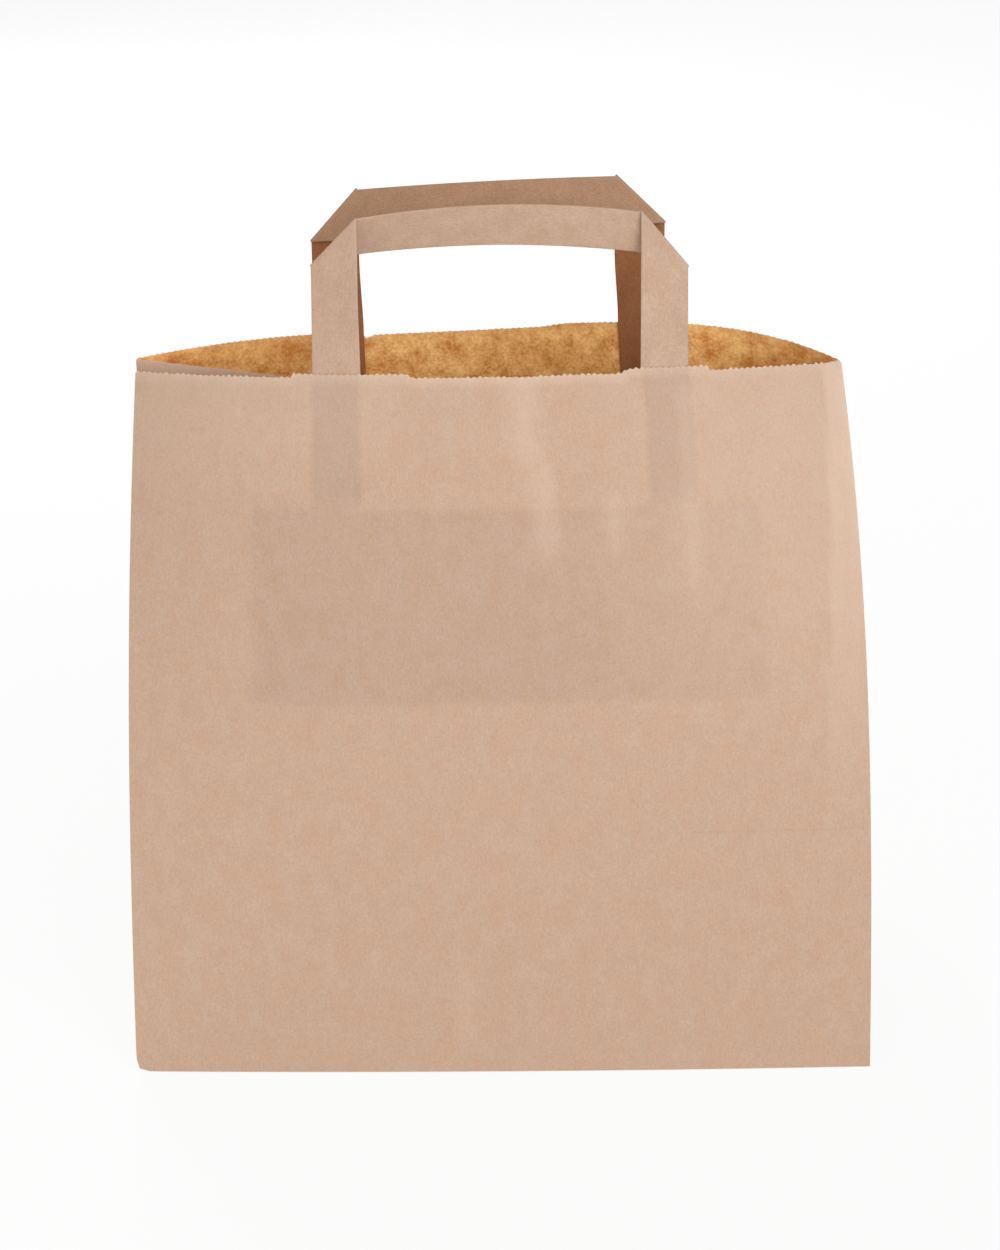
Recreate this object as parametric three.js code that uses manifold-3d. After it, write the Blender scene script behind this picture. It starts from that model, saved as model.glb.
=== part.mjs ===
// Paper carrier bag with flat folded handles, in millimetres.
// x runs across the front, y from front to back and z up. The base lies on z = 0.

import * as THREE from "three";
import { mergeVertices } from "three/addons/utils/BufferGeometryUtils.js";
import Module from "manifold-3d";

// Sheet of the bag
const PANEL_WIDTH = 260; // front and back panels
const BASE_DEPTH = 170; // both gussets together
const PAPER_HEIGHT = 248; // base fold to rim, along the paper
const PAPER = 0.15; // one ply
const SEAM_WIDTH = 21; // glued overlap that closes the tube
const SEAM_MARGIN = 8; // from the seam to the front right corner
const BASE_OVERLAP = 25; // the two base flaps over each other
const CREASE_DEPTH = 0.5; // level crease across each panel
const CREASE_REACH = 6; // half the height of that crease

// Rim as it stands open
const FRONT_LEFT_INSET = 2.9; // corners at the rim, in from the base corners
const FRONT_RIGHT_INSET = 9.9;
const BACK_LEFT_INSET = 0.6;
const BACK_RIGHT_INSET = 9.9;
const FRONT_LEFT_LEAN = 65.4; // corners at the rim, towards the other panel
const FRONT_RIGHT_LEAN = 72.4;
const BACK_LEFT_LEAN = 79.4;
const BACK_RIGHT_LEAN = 83.2;
const FRONT_DROP = 9.4; // corners at the rim, lost height
const BACK_DROP = 11.5;
const FRONT_BULGE = 35; // middle of the rim, out from the line between its corners
const BACK_BULGE = 24.8;
const FRONT_RISE = 5.7; // middle of the rim, above its corners
const BACK_RISE = 5;
const FRONT_SKEW = -0.12; // share of the bulge moved to the right
const BACK_SKEW = 0.4;
const FRONT_POWER = 2; // a higher power is a flatter bulge
const BACK_POWER = 3.8;
const GUSSET_TILT = 42; // degrees that the triangle at the foot of a gusset tips in
const GUSSET_DROP = 10; // gusset crease at the rim, below the corners
const INSET_POWER = 3; // how each change grows from the base to the rim
const LEAN_POWER = 1.05;
const BULGE_POWER = 1.6;
const TOOTH_PITCH = 2.15; // saw-cut rim
const TOOTH_HEIGHT = 0.5;
const TAB_RISE = 1.3; // rim stands higher beside the straps
const TAB_MARGIN = 9; // tab beyond each edge of a strap

// Handles
const STRAP_WIDTH = 17.5;
const STRAP = 0.7; // several plies
const FRONT_LEG_PITCH = 118; // between the middles of the two legs, along the paper
const REAR_LEG_PITCH = 114;
const FRONT_HANDLE_CENTRE = 4.6;
const REAR_HANDLE_CENTRE = 1.4;
const FRONT_LEFT_RISE = 39.5; // rim to the outer end of the corner fold
const FRONT_RIGHT_RISE = 37.5;
const REAR_LEFT_RISE = 39.5;
const REAR_RIGHT_RISE = 41;
const LEG_BELOW = 78; // rim to the end of the leg, inside the bag
const BAND_TILT = 24; // degrees that the open corner folds tip the band
const UNTWIST = 30; // height in which a leg turns flat to the front

// Patches over the ends of the straps
const PATCH_WIDTH = 181;
const PATCH_HEIGHT = 69;
const PATCH_BELOW = 46; // rim to the top of the patch
const PATCH_DOUBLE = 31; // lower part, folded double
const PATCH_RAMP = 4; // patch slopes from the strap down to the panel

const GLUE_GAP = 0.3; // clear space between glued pieces

// Mesh steps
const PANEL_STEPS = 20;
const GUSSET_STEPS = 5;
const UPPER_STEPS = 9;
const FOLD_EDGE = 1; // paper beside a sharp gusset crease
const TOOTH_ROOT = 3; // last full row, below the rim
const STEP_RAMP = 0.4; // width of the step at a seam edge
const FLOOR_INSET = 2.2; // plies from the outer fold to the inner edge of the floor
const SHARPEST = 0.3; // limit on how far a sharp fold reaches
const CREASE_FADE = 4; // power at which the level crease ends before the corners
const NUDGE = 0.5; // distance for measuring a slope
const EDGE_TO_EDGE = [0, 0.5, 1]; // lines along a strap, from its outer to its inner edge
const LEG_STOPS_BELOW = [-1, -0.8, -0.6, -0.4, -0.2, 0];
const LEG_STOPS_ABOVE = [0.25, 0.5, 0.75];
const LAST_LEG_STOP = { height: 0.9, slant: 0.6 }; // row just under the corner fold
const FOLD_STOPS = [0.25, 0.5, 0.75, 1];
const BAND_STOPS = [0.04, 0.12, 0.22, 0.34, 0.5, 0.66, 0.78, 0.88, 0.96];
const PATCH_STOPS = [-0.5, -0.25, 0, 0.25, 0.5]; // between the legs

const HALF_WIDTH = PANEL_WIDTH / 2;
const HALF_DEPTH = BASE_DEPTH / 2;
const BASE_LEVEL = 2 * PAPER; // two flaps lie under the lowest fold
const FLOOR_LEVEL = 3 * PAPER;
const FRONT = -1;
const BACK = 1;
const LEFT = -1;
const RIGHT = 1;
const HANDLES = {
  [FRONT]: {
    centre: FRONT_HANDLE_CENTRE,
    pitch: FRONT_LEG_PITCH,
    rise: { [LEFT]: FRONT_LEFT_RISE, [RIGHT]: FRONT_RIGHT_RISE },
  },
  [BACK]: {
    centre: REAR_HANDLE_CENTRE,
    pitch: REAR_LEG_PITCH,
    rise: { [LEFT]: REAR_LEFT_RISE, [RIGHT]: REAR_RIGHT_RISE },
  },
};

const wasm = await Module();
wasm.setup();

const point = (x, y, z) => new THREE.Vector3(x, y, z);
const radians = THREE.MathUtils.degToRad;

// Corner of the rim
function rimCorner(side, face) {
  const [inset, lean] = {
    [FRONT]: {
      [LEFT]: [FRONT_LEFT_INSET, FRONT_LEFT_LEAN],
      [RIGHT]: [FRONT_RIGHT_INSET, FRONT_RIGHT_LEAN],
    },
    [BACK]: {
      [LEFT]: [BACK_LEFT_INSET, BACK_LEFT_LEAN],
      [RIGHT]: [BACK_RIGHT_INSET, BACK_RIGHT_LEAN],
    },
  }[face][side];
  const drop = face === FRONT ? FRONT_DROP : BACK_DROP;
  return point(side * (HALF_WIDTH - inset), face * (HALF_DEPTH - lean), PAPER_HEIGHT - drop);
}

// Folded corner from base to rim, t along the paper
function cornerAt(side, face, t) {
  const q = t / PAPER_HEIGHT;
  const rim = rimCorner(side, face);
  const x0 = side * HALF_WIDTH;
  const y0 = face * HALF_DEPTH;
  return point(
    x0 + (rim.x - x0) * q ** INSET_POWER,
    y0 + (rim.y - y0) * q ** LEAN_POWER,
    rim.z * q,
  );
}

// Front or back panel, s across the paper from its middle
function panelAt(face, s, t) {
  const q = t / PAPER_HEIGHT;
  const u = s / HALF_WIDTH;
  const p = cornerAt(LEFT, face, t).lerp(cornerAt(RIGHT, face, t), (u + 1) / 2);
  const [bulge, rise, skew, power] =
    face === FRONT
      ? [FRONT_BULGE, FRONT_RISE, FRONT_SKEW, FRONT_POWER]
      : [BACK_BULGE, BACK_RISE, BACK_SKEW, BACK_POWER];
  const arch = (1 - Math.abs(u) ** power) * (1 + skew * u);
  const near = Math.max(0, 1 - Math.abs(t - HALF_DEPTH) / CREASE_REACH);
  const crease = CREASE_DEPTH * near * (1 - Math.abs(u) ** CREASE_FADE);
  p.y += face * (bulge * q ** BULGE_POWER * arch - crease);
  p.z += rise * q * q * arch;
  return p;
}

// Middle crease of a gusset at the rim, half a gusset away from both corners
function rimCrease(side) {
  const front = rimCorner(side, FRONT);
  const back = rimCorner(side, BACK);
  const halfGap = front.distanceTo(back) / 2;
  const reach = Math.sqrt(HALF_DEPTH ** 2 - halfGap ** 2 - GUSSET_DROP ** 2);
  const p = front.lerp(back, 0.5);
  return point(p.x - side * reach, p.y, p.z - GUSSET_DROP);
}

// Gusset, s across the paper from its middle crease: a triangle tips in at the foot,
// and above its two slanting creases each half folds in to the middle crease
function gussetAt(side, s, t) {
  const face = s < 0 ? FRONT : BACK;
  const d = HALF_DEPTH - Math.abs(s);
  const tilt = radians(GUSSET_TILT);
  const foot = point(side * HALF_WIDTH, 0, 0);
  const apex = point(foot.x - side * HALF_DEPTH * Math.sin(tilt), 0, HALF_DEPTH * Math.cos(tilt));
  if (t <= d) {
    return point(foot.x, s, 0).addScaledVector(apex.sub(foot), t / HALF_DEPTH);
  }
  const corner = cornerAt(side, face, 0);
  const rim = rimCorner(side, face);
  const share = d / HALF_DEPTH;
  const low = corner.clone().lerp(apex, share);
  const high = rim.clone().lerp(rimCrease(side), share);
  const p = low.lerp(high, (t - d) / (PAPER_HEIGHT - d));
  const straight = corner.lerp(rim, t / PAPER_HEIGHT);
  return p.add(cornerAt(side, face, t).sub(straight).multiplyScalar(1 - share));
}

// Columns of the sheet, once round the bag from the front left corner
function sheetColumns() {
  const evenly = (half, steps) =>
    Array.from({ length: steps + 1 }, (_, i) => (2 * i - steps) * (half / steps));
  const panelStops = evenly(HALF_WIDTH, PANEL_STEPS);
  const foldStops = [-FOLD_EDGE, FOLD_EDGE];
  const gussetStops = [...evenly(HALF_DEPTH, 2 * GUSSET_STEPS), ...foldStops].sort((a, b) => a - b);
  const seamEnd = HALF_WIDTH - SEAM_MARGIN;
  const seamStart = seamEnd - SEAM_WIDTH;
  const seamEdges = [seamStart - STEP_RAMP, seamStart, seamEnd, seamEnd + STEP_RAMP];
  const clear = (s) => seamEdges.every((edge) => Math.abs(s - edge) > TOOTH_PITCH);
  const frontStops = [...panelStops.filter(clear), ...seamEdges].sort((a, b) => a - b);
  const runs = [
    { surface: (s, t) => panelAt(FRONT, s, t), face: FRONT, stops: frontStops },
    { surface: (s, t) => gussetAt(RIGHT, s, t), stops: gussetStops },
    { surface: (s, t) => panelAt(BACK, s, t), face: BACK, stops: [...panelStops].reverse() },
    { surface: (s, t) => gussetAt(LEFT, s, t), stops: [...gussetStops].reverse() },
  ];
  return runs.flatMap(({ surface, face, stops }) =>
    stops.slice(0, -1).map((s, i) => {
      const inSeam = face === FRONT && s >= seamStart && s <= seamEnd;
      return { surface, face, s, end: stops[i + 1], plies: inSeam ? 2 : 1 };
    }),
  );
}

// Height of the saw-cut rim, raised in tabs beside the straps
function rimHeight(face, s, tip) {
  const tooth = tip ? TOOTH_HEIGHT / 2 : -TOOTH_HEIGHT / 2;
  if (face === undefined) {
    return PAPER_HEIGHT + tooth;
  }
  const { centre, pitch } = HANDLES[face];
  const fromLeg = Math.abs(Math.abs(s - centre) - pitch / 2);
  const tab = fromLeg < STRAP_WIDTH / 2 + TAB_MARGIN ? TAB_RISE : 0;
  return PAPER_HEIGHT + tab + tooth;
}

// Closed geometry from points and triangles
function meshGeometry(points, triangles) {
  const geometry = new THREE.BufferGeometry().setFromPoints(points);
  return geometry.setIndex(triangles.flat());
}

function toSolid(geometry) {
  const { position } = geometry.attributes;
  const mesh = new wasm.Mesh({
    numProp: 3,
    vertProperties: new Float32Array(position.array),
    triVerts: new Uint32Array(geometry.index.array),
  });
  return new wasm.Manifold(mesh);
}

function toGeometry(solid) {
  const mesh = solid.getMesh();
  const geometry = new THREE.BufferGeometry();
  geometry.setAttribute("position", new THREE.BufferAttribute(mesh.vertProperties, 3));
  return geometry.setIndex(new THREE.BufferAttribute(mesh.triVerts, 1));
}

// Step of one ply into the bag at each point, square to the faces that meet there
function plySteps(points, triangles) {
  const sums = points.map(() => point(0, 0, 0));
  const shares = points.map(() => []);
  for (const [a, b, c] of triangles) {
    const ab = points[b].clone().sub(points[a]);
    const normal = ab.cross(points[c].clone().sub(points[a])).normalize();
    for (const [v, left, right] of [[a, b, c], [b, c, a], [c, a, b]]) {
      const angle = points[left].clone().sub(points[v]).angleTo(points[right].clone().sub(points[v]));
      sums[v].addScaledVector(normal, angle);
      shares[v].push(normal);
    }
  }
  return sums.map((sum, v) => {
    const n = sum.normalize();
    const facing = shares[v].map((normal) => normal.dot(n));
    const mean = facing.reduce((a, b) => a + b, 0) / facing.length;
    return n.clone().multiplyScalar(-PAPER / Math.max(SHARPEST, mean));
  });
}

// Heights of the sheet's rows along the paper, up to the last full row
function sheetRows() {
  const rows = Array.from({ length: GUSSET_STEPS }, (_, i) => (HALF_DEPTH * i) / GUSSET_STEPS);
  const rise = PAPER_HEIGHT - TOOTH_ROOT - HALF_DEPTH - CREASE_REACH;
  rows.push(HALF_DEPTH - CREASE_REACH, HALF_DEPTH);
  for (let i = 0; i <= UPPER_STEPS; i += 1) {
    rows.push(HALF_DEPTH + CREASE_REACH + (rise * i) / UPPER_STEPS);
  }
  return rows;
}

// Triangles of the wall, with each diagonal along the gusset's slanting creases
function wallTriangles(columns, rowCount, at) {
  const wall = [];
  for (let j = 0; j + 1 < rowCount; j += 1) {
    columns.forEach(({ face, s, end }, i) => {
      const [a, b, c, d] = [at(i, j), at(i + 1, j), at(i + 1, j + 1), at(i, j + 1)];
      const rising = face === undefined ? Math.abs(end) < Math.abs(s) : s * face > 0;
      wall.push(...(rising ? [[a, b, c], [a, c, d]] : [[a, b, d], [b, c, d]]));
    });
  }
  return wall;
}

// Inner face of the sheet, one or two plies in, with the floor inside its folds
function innerPoints(outer, wall, columns) {
  const steps = plySteps(outer, wall);
  const inset = FLOOR_INSET * PAPER;
  const limit = (v, end) => THREE.MathUtils.clamp(v, inset - end, end - inset);
  return outer.map((p, v) => {
    if (v < columns.length) {
      return point(limit(p.x, HALF_WIDTH), limit(p.y, HALF_DEPTH), FLOOR_LEVEL);
    }
    return p.clone().addScaledVector(steps[v], columns[v % columns.length].plies);
  });
}

// Saw-cut rim above the last full row: its points and the first of them in each column
function sawCutRim(columns, plies) {
  const rim = { outer: [], inner: [], firsts: [] };
  columns.forEach(({ surface, face, s, end }, i) => {
    const cuts = Math.max(1, 2 * Math.round(Math.abs(end - s) / TOOTH_PITCH));
    rim.firsts.push(rim.outer.length);
    for (let k = 0; k < cuts; k += 1) {
      const cut = s + ((end - s) * k) / cuts;
      const p = surface(cut, rimHeight(face, cut, k % 2 === 1));
      p.z += BASE_LEVEL;
      rim.outer.push(p);
      rim.inner.push(p.clone().add(plies[i].clone().lerp(plies[(i + 1) % plies.length], k / cuts)));
    }
  });
  return rim;
}

// Triangles between the last full row and the rim, on both faces, and across the cut edge
function rimTriangles(firsts, rimCount, rowAt, starts) {
  const triangles = [];
  const add = (...corners) => triangles.push(corners);
  const { inner, rim, rimInner } = starts;
  firsts.forEach((first, i) => {
    const last = i + 1 < firsts.length ? firsts[i + 1] : rimCount;
    const middle = Math.floor((first + last) / 2);
    const [a, b] = [rowAt(i), rowAt(i + 1)];
    add(a, b, rim + (middle % rimCount));
    add(a + inner, rimInner + (middle % rimCount), b + inner);
    for (let k = first; k < last; k += 1) {
      const [f, g] = [k % rimCount, (k + 1) % rimCount];
      const root = k < middle ? a : b;
      add(root, rim + g, rim + f);
      add(root + inner, rimInner + f, rimInner + g);
      add(rim + f, rim + g, rimInner + g);
      add(rim + f, rimInner + g, rimInner + f);
    }
  });
  return triangles;
}

// Folded sheet: panels, gussets and floor with a ply of thickness
function sheetGeometry() {
  const columns = sheetColumns();
  const count = columns.length;
  const rows = sheetRows();
  const at = (i, j) => j * count + (i % count);
  const topAt = (i) => at(i, rows.length - 1);
  const outer = rows.flatMap((t) => columns.map(({ surface, s }) => surface(s, t)));
  outer.forEach((p) => {
    p.z += BASE_LEVEL;
  });
  const wall = wallTriangles(columns, rows.length, at);
  const inner = innerPoints(outer, wall, columns);
  const plies = columns.map((_, i) => inner[topAt(i)].clone().sub(outer[topAt(i)]));
  const rim = sawCutRim(columns, plies);
  const points = [...outer, ...inner, ...rim.outer, ...rim.inner];
  const starts = { inner: outer.length, rim: 2 * outer.length };
  starts.rimInner = starts.rim + rim.outer.length;
  const triangles = [
    ...wall,
    ...wall.map(([a, b, c]) => [a + starts.inner, c + starts.inner, b + starts.inner]),
    ...rimTriangles(rim.firsts, rim.outer.length, topAt, starts),
  ];
  const under = points.push(point(0, 0, BASE_LEVEL)) - 1;
  const inside = points.push(point(0, 0, FLOOR_LEVEL)) - 1;
  columns.forEach((_, i) => {
    triangles.push([under, at(i + 1, 0), at(i, 0)]);
    triangles.push([inside, at(i, 0) + starts.inner, at(i + 1, 0) + starts.inner]);
  });
  return meshGeometry(points, triangles);
}

// Base flap: from a long fold in to just past the middle, with ends folded at 45 degrees
function baseFlap(face, level) {
  const depth = HALF_DEPTH + BASE_OVERLAP / 2;
  const fold = PAPER; // a folded edge stands in by one ply
  const shape = new THREE.Shape([
    new THREE.Vector2(-HALF_WIDTH + 2 * fold, -HALF_DEPTH + fold),
    new THREE.Vector2(HALF_WIDTH - 2 * fold, -HALF_DEPTH + fold),
    new THREE.Vector2(HALF_WIDTH - depth, depth - HALF_DEPTH),
    new THREE.Vector2(depth - HALF_WIDTH, depth - HALF_DEPTH),
  ]);
  const height = FLOOR_LEVEL - PAPER / 2 - level;
  const flap = new THREE.ExtrudeGeometry(shape, { depth: height, bevelEnabled: false });
  flap.deleteAttribute("normal").deleteAttribute("uv");
  flap.rotateZ(face === FRONT ? 0 : Math.PI).translate(0, 0, level);
  return toSolid(mergeVertices(flap));
}

function bagBody() {
  const sheet = toSolid(sheetGeometry());
  return toGeometry(sheet.add(baseFlap(FRONT, PAPER)).add(baseFlap(BACK, 0)));
}

// Point inside a panel at a distance from its outer face; above the rim the paper's line goes on
function insidePanel(face, s, t, distance) {
  const reach = Math.min(t, PAPER_HEIGHT);
  const p = panelAt(face, s, reach);
  const across = panelAt(face, s + NUDGE, reach).sub(panelAt(face, s - NUDGE, reach));
  const up = p.clone().sub(panelAt(face, s, reach - NUDGE));
  const inward = across.clone().cross(up).normalize().multiplyScalar(face);
  p.addScaledVector(inward, distance);
  p.z += BASE_LEVEL;
  up.x = 0;
  return p.addScaledVector(up.normalize(), t - reach);
}

// Closed strip from lines of points across it, thickness square to its middle surface
function stripGeometry(lines, thicknessAt) {
  const across = lines[0].length;
  const last = lines.length - 1;
  const plus = [];
  const minus = [];
  lines.forEach((line, j) => {
    line.forEach((p, i) => {
      const over = line[Math.min(i + 1, across - 1)].clone().sub(line[Math.max(i - 1, 0)]);
      const along = lines[Math.min(j + 1, last)][i].clone().sub(lines[Math.max(j - 1, 0)][i]);
      const half = over.cross(along).normalize().multiplyScalar(thicknessAt(j, i) / 2);
      plus.push(p.clone().add(half));
      minus.push(p.clone().sub(half));
    });
  });
  const size = plus.length;
  const at = (j, i) => j * across + i;
  const triangles = [];
  const quad = (a, b, c, d) => triangles.push([a, b, c], [a, c, d]);
  for (let j = 0; j < last; j += 1) {
    for (let i = 0; i + 1 < across; i += 1) {
      const [a, b, c, d] = [at(j, i), at(j, i + 1), at(j + 1, i + 1), at(j + 1, i)];
      quad(a, b, c, d);
      triangles.push([a + size, c + size, b + size], [a + size, d + size, c + size]);
    }
    const [a, d] = [at(j, 0), at(j + 1, 0)];
    const [b, c] = [at(j, across - 1), at(j + 1, across - 1)];
    quad(a, d, d + size, a + size);
    quad(c, b, b + size, c + size);
  }
  for (let i = 0; i + 1 < across; i += 1) {
    quad(at(0, i + 1), at(0, i), at(0, i) + size, at(0, i + 1) + size);
    quad(at(last, i), at(last, i + 1), at(last, i + 1) + size, at(last, i) + size);
  }
  return meshGeometry([...plus, ...minus], triangles);
}

// Lines across one leg, from its end inside the bag up to the corner fold
function legLines(face, side) {
  const { centre, pitch, rise } = HANDLES[face];
  const top = rise[side];
  const middle = centre + (side * pitch) / 2;
  const distance = PAPER + GLUE_GAP + STRAP / 2;
  const at = (share, h) => {
    const s = middle + side * (0.5 - share) * STRAP_WIDTH;
    const p = insidePanel(face, s, PAPER_HEIGHT + h, distance);
    const flat = THREE.MathUtils.smoothstep(h, 0, UNTWIST);
    p.y += (insidePanel(face, middle, PAPER_HEIGHT + h, distance).y - p.y) * flat;
    return p;
  };
  const line = (height, slant) =>
    EDGE_TO_EDGE.map((share) => at(share, height + share * slant * STRAP_WIDTH));
  return [
    ...LEG_STOPS_BELOW.map((v) => line(v * LEG_BELOW, 0)),
    ...LEG_STOPS_ABOVE.map((v) => line(v * top, 0)),
    line(LAST_LEG_STOP.height * top, LAST_LEG_STOP.slant),
    line(top, 1),
  ];
}

// Half turn of the corner fold, from the leg over to the band on the inner side
function cornerFold(face, side, fold) {
  const radius = (STRAP + GLUE_GAP) / 2;
  return FOLD_STOPS.map((share) => {
    const angle = Math.PI * share;
    const out = (radius * Math.sin(angle)) / Math.SQRT2;
    const back = -face * radius * (1 - Math.cos(angle));
    return fold.map((p) => point(p.x + side * out, p.y + back, p.z + out));
  });
}

// Band between the two corner folds, tipped and bowed inwards by the open folds
function bandLines(face, from, to) {
  const tip = Math.sin(radians(BAND_TILT));
  const lift = 1 - Math.cos(radians(BAND_TILT));
  const span = from.at(-1).distanceTo(to.at(-1));
  return BAND_STOPS.map((share) =>
    from.map((p, i) => {
      const q = p.clone().lerp(to[i], share);
      const down = (1 - EDGE_TO_EDGE[i]) * STRAP_WIDTH;
      const reach = Math.min(share, 1 - share) * p.distanceTo(to[i]);
      const beyond = Math.max(0, reach - down);
      const bow = Math.min(reach, down) + beyond - (beyond * beyond) / span;
      q.y -= face * tip * bow;
      q.z += lift * bow;
      return q;
    }),
  );
}

// Handle strap: a leg, a band behind both legs and the other leg, folded at 45 degrees
function handleGeometry(face) {
  const left = legLines(face, LEFT);
  const right = legLines(face, RIGHT);
  const leftFold = cornerFold(face, LEFT, left.at(-1));
  const rightFold = cornerFold(face, RIGHT, right.at(-1));
  const band = bandLines(face, leftFold.at(-1), rightFold.at(-1));
  const lines = [...left, ...leftFold, ...band, ...rightFold.reverse(), ...right.reverse()];
  return stripGeometry(lines, () => STRAP);
}

// Patch over the ends of a strap: raised over the legs, its lower part folded double
function patchGeometry(face) {
  const { centre, pitch } = HANDLES[face];
  const edge = STRAP_WIDTH / 2 + GLUE_GAP;
  const nearLeg = [-edge - PATCH_RAMP, -edge, 0, edge, edge + PATCH_RAMP];
  const half = PATCH_WIDTH / 2;
  const stops = [-half, -half + PATCH_RAMP];
  stops.push(...nearLeg.map((v) => v - pitch / 2));
  stops.push(...PATCH_STOPS.map((v) => (v * pitch) / 2));
  stops.push(...nearLeg.map((v) => v + pitch / 2), half - PATCH_RAMP, half);
  const top = PAPER_HEIGHT - PATCH_BELOW;
  const bottom = top - PATCH_HEIGHT;
  const legEnd = PAPER_HEIGHT - LEG_BELOW - GLUE_GAP;
  const fold = bottom + PATCH_DOUBLE;
  const heights = [bottom, (bottom + fold) / 2, fold, fold + STEP_RAMP];
  heights.push(legEnd - PATCH_RAMP, legEnd, (legEnd + top) / 2, top);
  heights.sort((a, b) => a - b);
  const plies = (t) => (t <= fold ? 2 : 1);
  const lines = heights.map((t) =>
    stops.map((v) => {
      const beside = Math.abs(Math.abs(v) - pitch / 2) - edge;
      const over = 1 - THREE.MathUtils.clamp(beside / PATCH_RAMP, 0, 1);
      const above = 1 - THREE.MathUtils.clamp((legEnd - t) / PATCH_RAMP, 0, 1);
      const raised = (STRAP + GLUE_GAP) * over * above;
      const distance = PAPER + GLUE_GAP + raised + (plies(t) * PAPER) / 2;
      return insidePanel(face, centre + v, t, distance);
    }),
  );
  return stripGeometry(lines, (j) => plies(heights[j]) * PAPER);
}

function paper(color) {
  return new THREE.MeshStandardMaterial({ color, roughness: 0.9, metalness: 0 });
}

const bag = new THREE.Group();
function add(name, geometry, color) {
  const mesh = new THREE.Mesh(geometry, paper(color));
  mesh.name = name;
  bag.add(mesh);
}

add("bag_body", bagBody(), 0xcca98f);
add("front_handle", handleGeometry(FRONT), 0xc9a98f);
add("rear_handle", handleGeometry(BACK), 0xc9a98f);
add("front_handle_patch", patchGeometry(FRONT), 0xc4a68e);
add("rear_handle_patch", patchGeometry(BACK), 0xc4a68e);

export default bag;
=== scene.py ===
# Kraft paper carrier bag: one folded sheet, two flat folded straps and the patches over their ends.
# Shapes are worked out in millimetres and put into the meshes in metres.
import math

import bpy
import numpy as np
from mathutils import Matrix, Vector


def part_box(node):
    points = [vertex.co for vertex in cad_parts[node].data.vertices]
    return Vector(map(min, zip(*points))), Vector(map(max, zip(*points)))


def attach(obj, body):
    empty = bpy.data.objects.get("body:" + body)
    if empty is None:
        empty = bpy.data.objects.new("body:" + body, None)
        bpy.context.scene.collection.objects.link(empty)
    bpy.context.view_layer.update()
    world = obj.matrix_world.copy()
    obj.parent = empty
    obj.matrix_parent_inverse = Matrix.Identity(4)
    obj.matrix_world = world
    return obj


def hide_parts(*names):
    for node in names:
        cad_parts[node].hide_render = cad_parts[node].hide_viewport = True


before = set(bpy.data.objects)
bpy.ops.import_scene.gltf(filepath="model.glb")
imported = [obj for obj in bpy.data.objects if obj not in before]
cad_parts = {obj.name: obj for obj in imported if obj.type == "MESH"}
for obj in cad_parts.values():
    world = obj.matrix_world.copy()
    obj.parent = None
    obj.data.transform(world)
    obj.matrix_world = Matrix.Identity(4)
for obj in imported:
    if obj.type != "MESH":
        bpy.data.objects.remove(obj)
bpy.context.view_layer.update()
mm = 0.001
front, back, left, right = -1, 1, -1, 1
rng = np.random.default_rng(7)


# Small helpers

def hexLinear(code):
    # sRGB hex to linear red, green, blue and a full alpha
    srgb = np.array([int(code[i:i + 2], 16) for i in (1, 3, 5)]) / 255
    linear = np.where(srgb <= 0.04045, srgb / 12.92, ((srgb + 0.055) / 1.055) ** 2.4)
    return (*linear.tolist(), 1.0)


def smooth(v, low, high):
    # 0 below low, 1 above high, a cubic between
    x = np.clip((v - low) / (high - low), 0, 1)
    return x * x * (3 - 2 * x)


def between(v, low, high, soft):
    # 1 between low and high, with soft ends
    return smooth(v, low - soft, low + soft) * (1 - smooth(v, high - soft, high + soft))


def bell(v, middle, reach):
    # soft hump of height 1
    return np.exp(-((v - middle) / reach) ** 2)


def unit(v):
    # each vector at length 1
    return v / np.linalg.norm(v, axis=-1, keepdims=True)


def blendPoints(a, b, share):
    # straight line from a to b
    return a + (b - a) * np.asarray(share)[..., None]


# Sheet of the bag: s runs across the paper and t up from the base fold

bagLow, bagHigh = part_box("bag_body")
halfWidth = (bagHigh[0] - bagLow[0]) / 2 / mm
halfDepth = (bagHigh[1] - bagLow[1]) / 2 / mm

sheet = {
    "height": 248,  # base fold to rim, along the paper
    "ply": 0.15,
    "toothHeight": {front: 0.55, back: 0.3, None: 0.3},
    "toothUneven": 0.45,  # share by which the teeth differ
    "rimBlend": 232,  # from here up the rows follow the steps of the rim
    "rimWear": 0.3,  # share of the way to the cut edge's colour
    "toothWear": 0.7,
    "seam": (101, 122),  # glued overlap on the front panel, at the rim
    "seamSlant": 14,  # lower end of the overlap, nearer the middle
    "seamTurn": 1.3,  # the strip beside the overlap turns back this far
    "seamTurnUp": (60, 200),  # heights where that begins and is full
    "baseOverlap": 25,
    "flapGap": 0.02,  # air between the flaps and the sheet
    "floorInset": 2.2,  # edge of the inner floor, in plies from the outer face
    "floorPlies": 3,  # top of the inner floor, in plies from the ground
    "gussetTilt": 42,  # degrees that the triangle at a gusset's foot tips in
    "gussetDrop": {left: 8.2, right: 18},  # middle crease at the rim, below the corners
    "gussetSag": 0.5,  # slow wave of a gusset's halves
    "sagWave": (31, 1.3),  # its length and phase
    "sagUp": (20, 90),  # heights where it begins and is full
    "levelCrease": 0.35,  # depth of the crease half a depth above the base
    "creaseReach": 2.2,
    "creaseEnds": 4,  # power by which it dies away to the corner folds
    "baseBow": 2.0,  # the bottom fold stands this far forward of a straight line
    "bowFade": 25,  # height in which the bow falls off
    "upperRows": 44,
    "gussetColumns": 40,  # in half a gusset
    "panelColumns": 120,
}
baseLevel = 2 * sheet["ply"]
floorLevel = sheet["floorPlies"] * sheet["ply"]
# blunted corner of the base, drawn out along the depth, and the flap cut back there
crush = {"reach": 2.7, "deep": 7, "move": (1.0, 0.5, 0.9), "flap": 6}

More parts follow.
